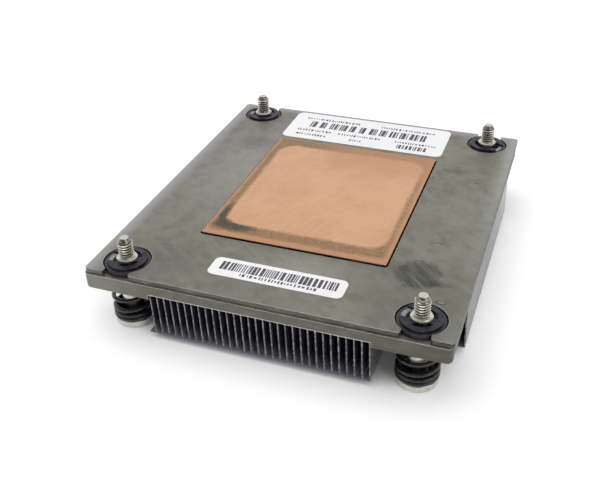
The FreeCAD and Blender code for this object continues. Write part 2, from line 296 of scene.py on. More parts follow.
def channel_colour(tree, where, place, exposed):
    """Bare sheet on the outer fins with painted shade toward the front, painted shade inside the
    channels that is lighter near the bottom, and random stains.
    """
    near_floor = ramp(tree, place["Z"], fin_low.z + lower_light_height, fin_low.z)
    # Channel faces painted dark, lighter near the bottom: painted shade and painted light.
    channel_shade = tint(tree, near_floor, srgb(30, 27, 38), srgb(144, 141, 153))
    colour = tint(tree, exposed, channel_shade, srgb(182, 182, 185))
    # Outer fins painted darker toward the front: painted shade.
    front_shade = ramp(tree, place["Y"], 40.0 * mm, 0.0, 0.0, 0.85)
    colour = tint(tree, times(tree, front_shade, exposed), colour, srgb(126, 125, 127))
    stain = place_group(tree, blotches, {"Vector": where, "Scale": 260.0,
                                         "Low": 0.45, "High": 0.75})["Mask"]
    return tint(tree, times(tree, stain, 0.3), colour, srgb(80, 78, 82))


def cut_end_colour(tree, where, place, flange):
    """Nicked bright metal at the sheets' ends, a painted highlight on the upper flanges' ends, and
    dark lower folds.
    """
    nicks = put(tree, "TexNoise", {"Vector": where, "Scale": 1100.0, "Detail": 2.0}).outputs[0]
    burr = tint(tree, ramp(tree, nicks, 0.35, 0.7), srgb(88, 86, 95), srgb(158, 156, 160))
    # The upper flanges' ends are painted near white: a painted highlight.
    burr = tint(tree, flange, burr, srgb(245, 244, 238))
    low_edge = ramp(tree, place["Z"], fin_low.z + lower_fold + 0.5 * mm, fin_low.z + lower_fold)
    return tint(tree, low_edge, burr, srgb(98, 95, 108))


def fin_finish():
    material, tree, shader, where = new_material("rolled_fin")
    place = part_of(tree, where)
    facing = part_of(tree, surface_normal(tree))
    cut_end = ramp(tree, calc(tree, "ABSOLUTE", facing["Y"]), 0.8, 0.95)
    # Faces shut in by the channels get painted shade.
    open_air = put(tree, "AmbientOcclusion", {"Distance": crevice_reach}, samples=8).outputs["AO"]
    exposed = ramp(tree, open_air, 0.55, 0.95)
    flange = ramp(tree, place["Z"], fin_high.z - upper_flange - 0.15 * mm,
                  fin_high.z - upper_flange)
    colour = tint(tree, cut_end, channel_colour(tree, where, place, exposed),
                  cut_end_colour(tree, where, place, flange))
    bare = calc(tree, "MAXIMUM", exposed, cut_end)
    rough = calc(tree, "SUBTRACT", 0.8, times(tree, bare, 0.4))
    metallic = times(tree, calc(tree, "SUBTRACT", bare, flange, clamp=True), 0.6)
    stretched = put(tree, "Mapping", {"Vector": where, "Scale": (1.0, 0.06, 1.0)}).outputs[0]
    rolled = put(tree, "TexNoise", {"Vector": stretched, "Scale": 1500.0, "Detail": 3.0}).outputs[0]
    bump = put(tree, "Bump", {"Height": rolled, "Strength": 0.15, "Distance": 0.02 * mm})
    connect(tree, shader, Base_Color=colour, Roughness=rough, Metallic=metallic,
            Normal=bump.outputs[0])
    return material


cover([name for name in nodes if name.startswith(("fin_", "side_fins"))], fin_finish())


# ---- Stiffener plate ----------------------------------------------------------------------
# A pressed sheet frame with the base plate's plating. Handling has left it blotched: a dark
# tarnish patch, a gouge and some scuffs at the front right. It also has large soft lighter and
# darker areas, a paler rim of painted light, painted shade on its upright faces, and edges
# rubbed bright with a painted highlight.

plate_low, plate_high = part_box("stiffener_plate")


def shaken(tree, vector, reach, scale, detail, roughness):
    """Vector moved about by noise, by up to half the reach each way."""
    noise = put(tree, "TexNoise", {"Vector": vector, "Scale": scale, "Detail": detail,
                                   "Roughness": roughness}).outputs["Color"]
    swing = put(tree, "VectorMath", {0: noise, 1: (0.5, 0.5, 0.5)},
                operation="SUBTRACT").outputs[0]
    shift = put(tree, "VectorMath", {0: swing, "Scale": reach}, operation="SCALE").outputs[0]
    return put(tree, "VectorMath", {0: vector, 1: shift}, operation="ADD").outputs[0]


def make_patch():
    """Soft-edged oval mask: 1 inside, 0 outside, its outline broken up by noise."""
    tree, given, result = new_group("patch", [("Vector", "Vector"), ("Centre", "Vector"),
                                              ("Half Size", "Vector"), ("Ragged", "Float"),
                                              ("Edge", "Float")], [("Mask", "Float")])
    moved = shaken(tree, given["Vector"], given["Ragged"], 420.0, 6.0, 0.65)
    local = put(tree, "VectorMath", {0: moved, 1: given["Centre"]},
                operation="SUBTRACT").outputs[0]
    share = put(tree, "VectorMath", {0: local, 1: given["Half Size"]},
                operation="DIVIDE").outputs[0]
    reach = put(tree, "VectorMath", {0: share}, operation="LENGTH").outputs["Value"]
    start = calc(tree, "SUBTRACT", 1.0, given["Edge"])
    mask = put(tree, "MapRange", {"Value": reach, "From Min": 1.0, "From Max": start},
               interpolation_type="SMOOTHSTEP").outputs[0]
    tree.links.new(mask, result["Mask"])
    return tree


def make_wiped_lines():
    """Noise drawn out by Stretch into streaks, and turned by Rotation."""
    tree, given, result = new_group("wiped_lines", [("Vector", "Vector"), ("Rotation", "Vector"),
                                                    ("Stretch", "Vector"), ("Scale", "Float"),
                                                    ("Detail", "Float")], [("Lines", "Float")])
    drawn = put(tree, "Mapping", {"Vector": given["Vector"], "Rotation": given["Rotation"],
                                  "Scale": given["Stretch"]}, vector_type="TEXTURE").outputs[0]
    lines = put(tree, "TexNoise", {"Vector": drawn, "Scale": given["Scale"],
                                   "Detail": given["Detail"]}).outputs[0]
    tree.links.new(lines, result["Lines"])
    return tree


patch = make_patch()
wiped_lines = make_wiped_lines()


def streaks_along(tree, where, angle, stretch, scale, detail):
    """Streaks that run at an angle across a plate, many times as long as they are wide."""
    return place_group(tree, wiped_lines, {
        "Vector": where, "Rotation": (0.0, 0.0, angle), "Stretch": (stretch, 1.0, 1.0),
        "Scale": scale, "Detail": detail})["Lines"]


def spot(tree, where, top, centre, half_size, ragged, softness):
    """Patch mask on a level face at the height top, its other sizes given in millimetres."""
    return place_group(tree, patch, {
        "Vector": where, "Centre": (centre[0] * mm, centre[1] * mm, top),
        "Half Size": (half_size[0] * mm, half_size[1] * mm, 1.0), "Ragged": ragged * mm,
        "Edge": softness})["Mask"]


def painted_rim_light(tree, place):
    """Mask of a painted rim light along the left, rear and right, weak toward the front right."""
    left = ramp(tree, place["X"], plate_low.x + 5.0 * mm, plate_low.x)
    rear = ramp(tree, place["Y"], plate_high.y - 4.5 * mm, plate_high.y)
    right = ramp(tree, place["X"], plate_high.x - 5.0 * mm, plate_high.x - 0.5 * mm)
    toward_rear = ramp(tree, place["Y"], plate_low.y + 25.0 * mm, plate_high.y, 0.15, 0.9)
    return calc(tree, "MAXIMUM", calc(tree, "MAXIMUM", left, rear), times(tree, toward_rear, right))


def clouded(tree, where, colour):
    """Large soft lighter and darker areas: centre, half size, depth and tone."""
    for centre, half_size, depth, tone in (
            ((-27.0, 10.0), (26.0, 46.0), 0.85, srgb(163, 161, 153)),
            ((-32.0, -44.0), (22.0, 15.0), 0.6, srgb(117, 118, 109)),
            ((6.0, -40.0), (18.0, 11.0), 0.8, srgb(164, 161, 150)),
            ((40.0, -42.0), (24.0, 26.0), 0.65, srgb(117, 118, 107)),
            ((-34.0, 27.0), (9.0, 8.0), 0.7, srgb(126, 124, 124)),
            ((37.0, 2.0), (10.0, 14.0), 0.4, srgb(152, 149, 136)),
            ((24.0, 40.0), (26.0, 9.0), 0.4, srgb(154, 154, 141))):
        cloud = spot(tree, where, plate_high.z, centre, half_size, 9.0, 0.9)
        colour = tint(tree, times(tree, cloud, depth), colour, tone)
    return colour


def marked(tree, where, colour):
    """Small dark marks left by handling: centre, half size and depth."""
    for centre, half_size, depth in (
            ((41.6, 21.0), (1.2, 0.5), 0.6), ((37.5, -15.2), (1.6, 0.5), 0.6),
            ((27.9, 20.6), (0.6, 1.2), 0.7), ((-34.5, 22.0), (2.6, 0.3), 0.45),
            ((-33.0, -39.0), (5.0, 0.35), 0.4), ((33.0, 27.0), (4.5, 2.0), 0.35),
            ((41.0, -34.2), (4.6, 1.5), 0.6)):
        mark = spot(tree, where, plate_high.z, centre, half_size, 2.0, 0.6)
        colour = tint(tree, times(tree, mark, depth), colour, srgb(78, 76, 70))
    return colour


def stiffener_finish():
    material, tree, shader, where = new_material("plated_stiffener")
    top = plate_high.z
    place = part_of(tree, where)
    coat = place_group(tree, plating, {"Vector": where})
    edge = place_group(tree, edge_wear_and_highlight, {"Radius": 0.3 * mm, "Vector": where})
    # Paler rim along the left, rear and right: painted light.
    colour = tint(tree, painted_rim_light(tree, place), coat["Color"], srgb(177, 177, 175))
    colour = clouded(tree, where, colour)

    streaks = streaks_along(tree, where, -0.9, 5.0, 800.0, 4.0)
    tarnish = times(tree, spot(tree, where, top, (35.6, -31.5), (7.0, 7.2), 5.0, 0.3),
                    ramp(tree, streaks, 0.35, 0.6, 0.5, 1.0))
    colour = tint(tree, times(tree, tarnish, 0.7), colour, srgb(72, 70, 67))
    halo = spot(tree, where, top, (31.5, -30.5), (12.0, 6.5), 6.0, 0.8)
    colour = tint(tree, times(tree, halo, 0.4), colour, srgb(88, 90, 82))
    colour = marked(tree, where, colour)
    scuff = spot(tree, where, top, (43.2, -41.4), (1.2, 0.6), 0.6, 0.5)
    struck = spot(tree, where, top, (43.1, -41.5), (1.7, 1.0), 0.6, 0.4)
    gouge = calc(tree, "SUBTRACT", struck, scuff, clamp=True)
    colour = tint(tree, times(tree, gouge, 0.8), colour, srgb(72, 66, 52))
    colour = tint(tree, times(tree, scuff, 0.5), colour, srgb(172, 170, 156))

    sheared_side_shade = place_group(tree, upright_shade, {"Vector": where})["Mask"]
    # Upright faces painted darker, darkest toward the right end: painted shade.
    colour = tint(tree, sheared_side_shade, colour, srgb(88, 87, 79))
    right_shade = ramp(tree, place["X"], plate_high.x - shaded_length, plate_high.x, 0.0, 0.7)
    colour = tint(tree, times(tree, sheared_side_shade, right_shade), colour, srgb(58, 57, 52))
    # Edges lightened toward near white, kept low along the right side: wear and a painted
    # highlight.
    share = place_group(tree, shade_line, {"Vector": where, "Side": plate_high.x})["Share"]
    wear_and_highlight = times(tree, edge["Mask"], share)
    colour = tint(tree, wear_and_highlight, colour, srgb(232, 231, 222))
    rolled = streaks_along(tree, where, -0.7, 7.0, 500.0, 5.0)
    colour = tint(tree, ramp(tree, rolled, 0.45, 0.75, 0.0, 0.22), colour, srgb(164, 162, 152))

    depth = calc(tree, "SUBTRACT", times(tree, coat["Height"], 0.4), gouge)
    bump = put(tree, "Bump", {"Height": depth, "Strength": 0.25, "Distance": 0.03 * mm,
                              "Normal": edge["Normal"]})
    rough = calc(tree, "ADD", coat["Roughness"], times(tree, tarnish, 0.12))
    metallic = ramp(tree, wear_and_highlight, 0.0, 1.0, plating_metallic, worn_highlight_metallic)
    connect(tree, shader, Base_Color=colour, Roughness=rough, Metallic=metallic,
            Normal=bump.outputs[0])
    return material


cover(["stiffener_plate"], stiffener_finish())


# ---- Contact block ------------------------------------------------------------------------
# A copper slab set into the base plate, its face lapped flat for the processor's lid. A ring
# of old thermal paste and tarnish lies inside its rim, widest along the front.

copper_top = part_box("contact_block")[1].z


def diagonal(tree, x, y):
    """Length of the line that goes x across and y along."""
    squares = calc(tree, "ADD", calc(tree, "POWER", x, 2.0), calc(tree, "POWER", y, 2.0))
    return calc(tree, "SQRT", squares)


def make_outline():
    """Distance in metres outside a rounded rectangle, negative inside it."""
    tree, given, result = new_group("outline", [("Vector", "Vector"), ("Centre", "Vector"),
                                                ("Half Size", "Vector"), ("Radius", "Float")],
                                    [("Distance", "Float")])
    local = put(tree, "VectorMath", {0: given["Vector"], 1: given["Centre"]},
                operation="SUBTRACT").outputs[0]
    folded = put(tree, "VectorMath", {0: local}, operation="ABSOLUTE").outputs[0]
    outside = put(tree, "VectorMath", {0: folded, 1: given["Half Size"]},
                  operation="SUBTRACT").outputs[0]
    overshoot = part_of(tree, outside)
    x = calc(tree, "ADD", overshoot["X"], given["Radius"])
    y = calc(tree, "ADD", overshoot["Y"], given["Radius"])
    corner = diagonal(tree, calc(tree, "MAXIMUM", x, 0.0), calc(tree, "MAXIMUM", y, 0.0))
    inside = calc(tree, "MINIMUM", calc(tree, "MAXIMUM", x, y), 0.0)
    distance = calc(tree, "SUBTRACT", calc(tree, "ADD", corner, inside), given["Radius"])
    tree.links.new(distance, result["Distance"])
    return tree


outline = make_outline()


def paste_ring(tree, where, place):
    """Mask of the smeared ring, distance outside its inner outline, and share rubbed away."""
    ragged = shaken(tree, where, 2.0 * mm, 240.0, 7.0, 0.68)
    inner = place_group(tree, outline, {
        "Vector": ragged, "Centre": (0.1 * mm, 1.65 * mm, 0.0),
        "Half Size": (23.7 * mm, 25.65 * mm, 1.0), "Radius": 5.0 * mm})["Distance"]
    outer = place_group(tree, outline, {
        "Vector": ragged, "Centre": (-0.4 * mm, 1.8 * mm, 0.0),
        "Half Size": (25.5 * mm, 30.1 * mm, 1.0), "Radius": 1.0 * mm})["Distance"]
    rubbed_off = times(tree, ramp(tree, place["X"], -16.0 * mm, 2.0 * mm),
                       ramp(tree, place["Y"], 12.0 * mm, 24.0 * mm))
    kept = calc(tree, "SUBTRACT", 1.0, times(tree, rubbed_off, 0.7))
    speckle = put(tree, "TexNoise", {"Vector": where, "Scale": 1900.0, "Detail": 3.0,
                                     "Roughness": 0.7}).outputs[0]
    band = times(tree, ramp(tree, inner, -0.7 * mm, 0.9 * mm),
                 ramp(tree, outer, 0.9 * mm, -0.7 * mm), kept,
                 ramp(tree, speckle, 0.32, 0.62, 0.3, 0.75))
    return band, inner, rubbed_off


def dried_crust(tree, where, band):
    """Mask of the dark crust at the ring's front left corner."""
    front = spot(tree, where, copper_top, (-19.5, -25.4), (9.5, 3.2), 2.5, 0.7)
    side = spot(tree, where, copper_top, (-24.4, -20.0), (2.2, 8.5), 2.5, 0.7)
    corner = spot(tree, where, copper_top, (-22.9, -24.4), (3.4, 3.4), 2.5, 0.7)
    along = times(tree, calc(tree, "MAXIMUM", front, side), ramp(tree, band, 0.05, 0.45))
    return calc(tree, "MAXIMUM", along, corner)


def copper_finish():
    material, tree, shader, where = new_material("lapped_copper", Metallic=0.8)
    place = part_of(tree, where)
    band, inner, rubbed_off = paste_ring(tree, where, place)
    crust = dried_crust(tree, where, band)
    clouds = place_group(tree, blotches, {"Vector": where, "Scale": 75.0,
                                          "Low": 0.35, "High": 0.7})["Mask"]
    lines = streaks_along(tree, where, 1.1, 8.0, 1600.0, 4.0)
    colour = tint(tree, clouds, srgb(232, 183, 145), srgb(222, 172, 134))
    colour = tint(tree, ramp(tree, lines, 0.45, 0.7, 0.0, 0.3), colour, srgb(242, 200, 166))
    colour = tint(tree, ramp(tree, inner, 0.0, 1.6 * mm), colour, srgb(206, 156, 118))
    colour = tint(tree, times(tree, rubbed_off, 0.5), colour, srgb(200, 146, 108))
    colour = tint(tree, band, colour, srgb(138, 123, 98))
    colour = tint(tree, times(tree, crust, 0.9), colour, srgb(84, 87, 78))
    # Upright side faces painted near black: painted shade standing for the gap round the block.
    sawn_side_shade = place_group(tree, upright_shade, {"Vector": where})["Mask"]
    colour = tint(tree, sawn_side_shade, colour, srgb(62, 44, 36))
    # Edges lightened toward pale copper: a painted highlight.
    edge = place_group(tree, edge_wear_and_highlight, {"Radius": 0.2 * mm, "Vector": where})
    colour = tint(tree, times(tree, edge["Mask"], 0.7), colour, srgb(240, 196, 165))
    bump = put(tree, "Bump", {"Height": lines, "Strength": 0.12, "Distance": 0.02 * mm,
                              "Normal": edge["Normal"]})
    rough = calc(tree, "ADD", 0.38, times(tree, band, 0.3))
    connect(tree, shader, Base_Color=colour, Roughness=rough, Normal=bump.outputs[0])
    return material


cover(["contact_block"], copper_finish())


# ---- Captive screws -----------------------------------------------------------------------
# Turned steel, zinc plated with a yellow tint: a pan head with a cross recess below, a long
# shoulder with a clip groove, and a rolled M4 thread above that ends in a cone.

corners = ("front_left", "front_right", "rear_left", "rear_right")
screw_low, screw_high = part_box("screw_front_left")
clip_low, clip_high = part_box("clip_front_left")
thread_pitch = 0.78 * mm
thread_depth = 0.4 * mm
head_height = 2.0 * mm
head_edge = 0.4 * mm
head_chamfer = 0.15 * mm
shoulder_radius = 2.8 * mm
groove_radius = 2.25 * mm
shoulder_chamfer = 0.3 * mm
clip_side_gap = 0.05 * mm
collar_height = 0.8 * mm
recess_size = (5.0 * mm, 1.1 * mm, 3.6 * mm)
recess_taper = (0.44, 0.66)
tip_cone = 1.3 * mm
tip_radius = 1.15 * mm
thread_radius = 2.0 * mm
thread_sunk = 0.2 * mm
thread_steps = 32
shank_steps = 64


def finish_mesh(mesh, name, angle=35.0):
    """Object at the origin with this mesh, smooth but for edges sharper than the angle."""
    mesh.name = name
    for face in mesh.polygons:
        face.use_smooth = True
    mesh.set_sharp_from_angle(angle=math.radians(angle))
    piece = bpy.data.objects.new(name, mesh)
    bpy.context.scene.collection.objects.link(piece)
    return piece


def mesh_from(bm):
    """Mesh of a finished bmesh, its faces turned outwards."""
    bmesh.ops.recalc_face_normals(bm, faces=bm.faces)
    mesh = bpy.data.meshes.new("made")
    bm.to_mesh(mesh)
    bm.free()
    return mesh


def spin_profile(bm, points, turns, rise, steps):
    """Turns a profile of (radius, height) points round Z, and lifts it as it turns."""
    verts = [bm.verts.new((r, 0.0, z)) for r, z in points]
    edges = [bm.edges.new(pair) for pair in zip(verts, verts[1:])]
    bmesh.ops.spin(bm, geom=verts + edges, cent=(0, 0, 0), axis=(0, 0, 1),
                   dvec=(0, 0, rise / steps), angle=2 * math.pi * turns, steps=steps,
                   use_merge=(rise == 0), use_duplicate=False)
    bmesh.ops.remove_doubles(bm, verts=bm.verts, dist=0.001 * mm)


def cap_at(bm, level, keep_above):
    """Cuts a mesh level and closes the cut."""
    geometry = list(bm.verts) + list(bm.edges) + list(bm.faces)
    bmesh.ops.bisect_plane(bm, geom=geometry, dist=0.0001 * mm, plane_co=(0, 0, level),
                           plane_no=(0, 0, -1 if keep_above else 1), clear_outer=True)
    rim = [e for e in bm.edges if e.is_boundary
           and all(abs(v.co.z - level) < 0.002 * mm for v in e.verts)]
    bmesh.ops.holes_fill(bm, edges=rim, sides=0)


def threaded_end(low, high):
    """Rolled thread between two levels, its end turned down to a cone."""
    bm = bmesh.new()
    root = thread_radius - thread_depth
    shares = ((root, 0.0), (root, 0.1), (thread_radius, 0.35), (thread_radius, 0.65),
              (root, 0.9), (root, 1.0))
    turns = math.ceil((high - low) / thread_pitch) + 2
    profile = [(r, low + (share - 1.0) * thread_pitch) for r, share in shares]
    spin_profile(bm, profile, turns, turns * thread_pitch, turns * thread_steps)
    cap_at(bm, low, True)
    cap_at(bm, high, False)
    for vert in bm.verts:
        share = (high - vert.co.z) / tip_cone
        limit = tip_radius + (thread_radius - tip_radius) * share
        radius = math.hypot(vert.co.x, vert.co.y)
        if share < 1.0 and radius > limit:
            vert.co.x *= limit / radius
            vert.co.y *= limit / radius
    return mesh_from(bm)


def turned_shank(low, groove_low, groove_high, top, head_radius):
    """Head, shoulder and clip groove as one turned body."""
    bm = bmesh.new()
    arc = [(head_radius - head_edge * (1 - math.sin(a)), low + head_edge * (1 - math.cos(a)))
           for a in (math.radians(15 * i) for i in range(7))]
    head_top = low + head_height
    points = [(0.0, low), *arc, (head_radius, head_top - head_chamfer),
              (head_radius - head_chamfer, head_top), (shoulder_radius, head_top),
              (shoulder_radius, groove_low), (groove_radius, groove_low),
              (groove_radius, groove_high), (shoulder_radius, groove_high),
              (shoulder_radius, top - shoulder_chamfer), (shoulder_radius - shoulder_chamfer, top),
              (0.0, top)]
    spin_profile(bm, points, 1, 0, shank_steps)
    return mesh_from(bm)


def cross_cutter(low):
    """Tapered plus shape that cuts the driver recess."""
    bm = bmesh.new()
    for turn in (0.0, 90.0):
        made = bmesh.ops.create_cube(bm, size=1.0)["verts"]
        bmesh.ops.scale(bm, vec=recess_size, verts=made)
        for vert in made:
            if vert.co.z > 0:
                vert.co.x *= recess_taper[0]
                vert.co.y *= recess_taper[1]
        bmesh.ops.rotate(bm, cent=(0, 0, 0), verts=made,
                         matrix=Matrix.Rotation(math.radians(turn), 3, "Z"))
        bmesh.ops.translate(bm, vec=(0, 0, low), verts=made)
    return mesh_from(bm)


def carve(mesh, other, operation):
    """Mesh joined with the other one, or cut by it."""
    first = bpy.data.objects.new("first", mesh)
    second = bpy.data.objects.new("second", other)
    for piece in (first, second):
        bpy.context.scene.collection.objects.link(piece)
    cut = first.modifiers.new("cut", "BOOLEAN")
    cut.object = second
    cut.operation = operation
    cut.solver = "EXACT"
    cut.use_self = True
    bpy.context.view_layer.update()
    seen = first.evaluated_get(bpy.context.evaluated_depsgraph_get())
    result = bpy.data.meshes.new_from_object(seen)
    for piece in (first, second):
        bpy.data.objects.remove(piece)
    return result


def axis_of(corner):
    """Point on the floor under a screw's axis."""
    low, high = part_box("screw_" + corner)
    return Vector(((low.x + high.x) / 2, (low.y + high.y) / 2, 0.0))


def make_from_screw():
    """Distance in metres from the nearest screw's axis."""
    tree, given, result = new_group("from_screw", [("Vector", "Vector")], [("Distance", "Float")])
    first_axis = axis_of("front_left")
    place = part_of(tree, given["Vector"])
    across = calc(tree, "SUBTRACT", calc(tree, "ABSOLUTE", place["X"]), abs(first_axis.x))
    along = calc(tree, "SUBTRACT", calc(tree, "ABSOLUTE", place["Y"]), abs(first_axis.y))
    tree.links.new(diagonal(tree, across, along), result["Distance"])
    return tree


from_screw = make_from_screw()


def shaded_shank(tree, height, reach):
    """Mask of painted shade on the shoulder inside the spring and in the plates' holes."""
    on_shank = ramp(tree, reach, shoulder_radius + 0.4 * mm, shoulder_radius + 0.2 * mm)
    in_coils = times(tree, ramp(tree, height, screw_low.z + 1.6 * mm, screw_low.z + head_height),
                     ramp(tree, height, screw_low.z + 8.4 * mm, screw_low.z + 7.0 * mm))
    in_well = times(tree, ramp(tree, height, clip_high.z - 3.0 * mm, clip_high.z - 2.0 * mm),
                    ramp(tree, height, clip_high.z + 0.15 * mm, clip_high.z))
    return times(tree, calc(tree, "MAXIMUM", in_coils, in_well), on_shank)


def thread_colour(tree, height, reach, colour):
    """Bright thread with painted shade in its roots, and a cone painted darker as painted shade,
    with a lighter flat tip.
    """
    thread = ramp(tree, height, clip_high.z + 0.6 * mm, clip_high.z + 1.6 * mm)
    colour = tint(tree, thread, colour, srgb(246, 242, 228))
    in_root = ramp(tree, reach, thread_radius - 0.04 * mm, thread_radius - 0.2 * mm)
    cone_low = screw_high.z - tip_cone
    on_cone = ramp(tree, height, cone_low, cone_low + 0.1 * mm)
    root_shade = times(tree, in_root, thread, calc(tree, "SUBTRACT", 1.0, on_cone))
    # Thread roots painted dark: painted shade in the grooves.
    colour = tint(tree, times(tree, root_shade, 0.85), colour, srgb(58, 55, 46))
    # Cone painted darker: painted shade.
    colour = tint(tree, on_cone, colour, srgb(150, 148, 138))
    on_tip = ramp(tree, height, screw_high.z - 0.1 * mm, screw_high.z - 0.02 * mm)
    return tint(tree, on_tip, colour, srgb(216, 215, 205))


def screw_finish():
    material, tree, shader, where = new_material("zinc_plate", Metallic=0.85)
    shade = place_group(tree, blotches, {"Vector": where, "Scale": 480.0,
                                         "Low": 0.35, "High": 0.7})["Mask"]
    colour = tint(tree, shade, srgb(220, 220, 212), srgb(202, 201, 184))
    height = part_of(tree, where)["Z"]
    reach = place_group(tree, from_screw, {"Vector": where})["Distance"]
    shank_shade = shaded_shank(tree, height, reach)
    # Shoulder painted dark inside the coils and the holes: painted shade.
    colour = tint(tree, times(tree, shank_shade, 0.9), colour, srgb(52, 50, 46))
    colour = thread_colour(tree, height, reach, colour)
    turned = put(tree, "Mapping", {"Vector": where, "Scale": (0.15, 0.15, 1.0)}).outputs[0]
    rings = put(tree, "TexNoise", {"Vector": turned, "Scale": 2600.0, "Detail": 3.0}).outputs[0]
    bump = put(tree, "Bump", {"Height": rings, "Strength": 0.12, "Distance": 0.02 * mm})
    rough = calc(tree, "ADD", 0.2, times(tree, shade, 0.12))
    connect(tree, shader, Base_Color=colour, Roughness=rough, Normal=bump.outputs[0])
    return material


def screw_mesh():
    """Turned body with its threaded end joined on and the driver recess cut, on the Z axis."""
    groove_top = clip_high.z + clip_side_gap
    shoulder_top = groove_top + collar_height
    body = turned_shank(screw_low.z, clip_low.z - clip_side_gap, groove_top, shoulder_top,
                        (screw_high.x - screw_low.x) / 2)
    body = carve(body, threaded_end(shoulder_top - thread_sunk, screw_high.z), "UNION")
    return carve(body, cross_cutter(screw_low.z), "DIFFERENCE")


def set_round(shape, corner, angle):
    """Copy of a mesh, turned by an angle and moved to a corner's screw axis."""
    copy = shape.copy()
    turn = Matrix.Rotation(math.radians(angle), 4, "Z")
    copy.transform(Matrix.Translation(axis_of(corner)) @ turn)
    return copy


zinc = screw_finish()
screw_shape = screw_mesh()
screw_turns = {"front_left": 20.0, "front_right": 115.0, "rear_left": 200.0, "rear_right": 290.0}
for corner in corners:
    shape = set_round(screw_shape, corner, screw_turns[corner])
    shape.materials.append(zinc)
    screw = finish_mesh(shape, "threaded_screw_" + corner)
    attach(screw, "screw_body_" + corner)
    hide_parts("screw_" + corner)


# ---- Springs ------------------------------------------------------------------------------
# Round music wire, black and oiled, coiled with its end turns closed and ground flat. Each is
# pressed between a screw's head and the ear above it, and shortens as the screw is pushed up.

spring_low, spring_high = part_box("spring_front_left")
wire_radius = 0.6 * mm
head_turns = 2.1
open_turns = 2.1
ear_turns = 0.8
wire_gap = 0.05 * mm
ground_off = 0.4 * mm
steps_per_turn = 40


def coil_mesh(low, high, outer_radius):
    """Wire along a helix whose first and last turns lie close, cut level at both ends."""
    start, stop = low + wire_radius - ground_off, high - wire_radius + ground_off
    close_rise = 2 * wire_radius + wire_gap
    open_rise = (stop - start - (head_turns + ear_turns) * close_rise) / open_turns
    turns = head_turns + open_turns + ear_turns
    steps = round(turns * steps_per_turn)
    reach = outer_radius - wire_radius
    curve = bpy.data.curves.new("coil", "CURVE")
    curve.dimensions = "3D"
    curve.bevel_depth = wire_radius
    curve.bevel_resolution = 4
    curve.use_fill_caps = True
    line = curve.splines.new("POLY")
    line.points.add(steps)
    for i, point in enumerate(line.points):
        turn = turns * i / steps
        opened = min(max(turn - head_turns, 0.0), open_turns)
        level = start + (turn - opened) * close_rise + opened * open_rise
        angle = 2 * math.pi * turn
        point.co = (reach * math.cos(angle), reach * math.sin(angle), level, 1.0)
    piece = bpy.data.objects.new("coil", curve)
    bm = bmesh.new()
    bm.from_mesh(bpy.data.meshes.new_from_object(piece))
    bpy.data.objects.remove(piece)
    bmesh.ops.remove_doubles(bm, verts=bm.verts, dist=0.001 * mm)
    cap_at(bm, low, True)
    cap_at(bm, high, False)
    return mesh_from(bm)


def spring_finish():
    material, tree, shader, where = new_material("oiled_spring", Metallic=0.2, Coat_Weight=0.3,
                                                 Coat_Roughness=0.1)
    shade = place_group(tree, blotches, {"Vector": where, "Scale": 900.0,
                                         "Low": 0.4, "High": 0.75})["Mask"]
    colour = tint(tree, shade, srgb(24, 22, 28), srgb(44, 41, 48))
    rough = calc(tree, "ADD", 0.26, times(tree, shade, 0.2))
    drawn = put(tree, "TexNoise", {"Vector": where, "Scale": 3500.0, "Detail": 2.0}).outputs[0]
    bump = put(tree, "Bump", {"Height": drawn, "Strength": 0.1, "Distance": 0.02 * mm})
    connect(tree, shader, Base_Color=colour, Roughness=rough, Normal=bump.outputs[0])
    return material


oiled_black = spring_finish()
spring_shape = coil_mesh(spring_low.z, spring_high.z, (spring_high.x - spring_low.x) / 2)
spring_turns = {"front_left": 150.0, "front_right": 160.0, "rear_left": 20.0, "rear_right": 300.0}
for corner in corners:
    shape = set_round(spring_shape, corner, spring_turns[corner])
    shape.materials.append(oiled_black)
    spring = finish_mesh(shape, "coil_spring_" + corner, angle=50.0)
    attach(spring, "heatsink")
    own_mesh(spring)
    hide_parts("spring_" + corner)


# ---- Washers and retaining clips ----------------------------------------------------------
# A moulded black ring fills each keyhole's seat. On it lies an E-shaped clip of black spring
# steel, pushed sideways into the screw's groove, which keeps the screw in the plate.

clip_reach = (clip_high.x - clip_low.x) / 2


def black_finish(name, metallic, dark, worn_and_lit, roughness, radius, pale_inner_share):
    """Black finish with edges lightened by wear and a painted highlight, and paler by a share
    inside the clip's reach.
    """
    material, tree, shader, where = new_material(name, Metallic=metallic)
    shade = place_group(tree, blotches, {"Vector": where, "Scale": 520.0,
                                         "Low": 0.4, "High": 0.72})["Mask"]
    colour = tint(tree, times(tree, shade, 0.5), dark, worn_and_lit)
    edge = place_group(tree, edge_wear_and_highlight, {"Radius": radius, "Vector": where})
    # Edges lightened: wear and a painted highlight.
    colour = tint(tree, times(tree, edge["Mask"], 0.8), colour, worn_and_lit)
    reach = place_group(tree, from_screw, {"Vector": where})["Distance"]
    inside = ramp(tree, reach, clip_reach, clip_reach - 0.2 * mm, 0.0, pale_inner_share)
    pale_inner = times(tree, inside, ramp(tree, shade, 0.0, 1.0, 1.0, 0.55))
    colour = tint(tree, pale_inner, colour, srgb(158, 158, 162))
    grain = put(tree, "TexNoise", {"Vector": where, "Scale": 2600.0, "Detail": 2.0}).outputs[0]
    bump = put(tree, "Bump", {"Height": grain, "Strength": 0.15, "Distance": 0.02 * mm,
                              "Normal": edge["Normal"]})
    rough = calc(tree, "ADD", roughness, times(tree, shade, 0.12))
    connect(tree, shader, Base_Color=colour, Roughness=rough, Normal=bump.outputs[0])
    return material


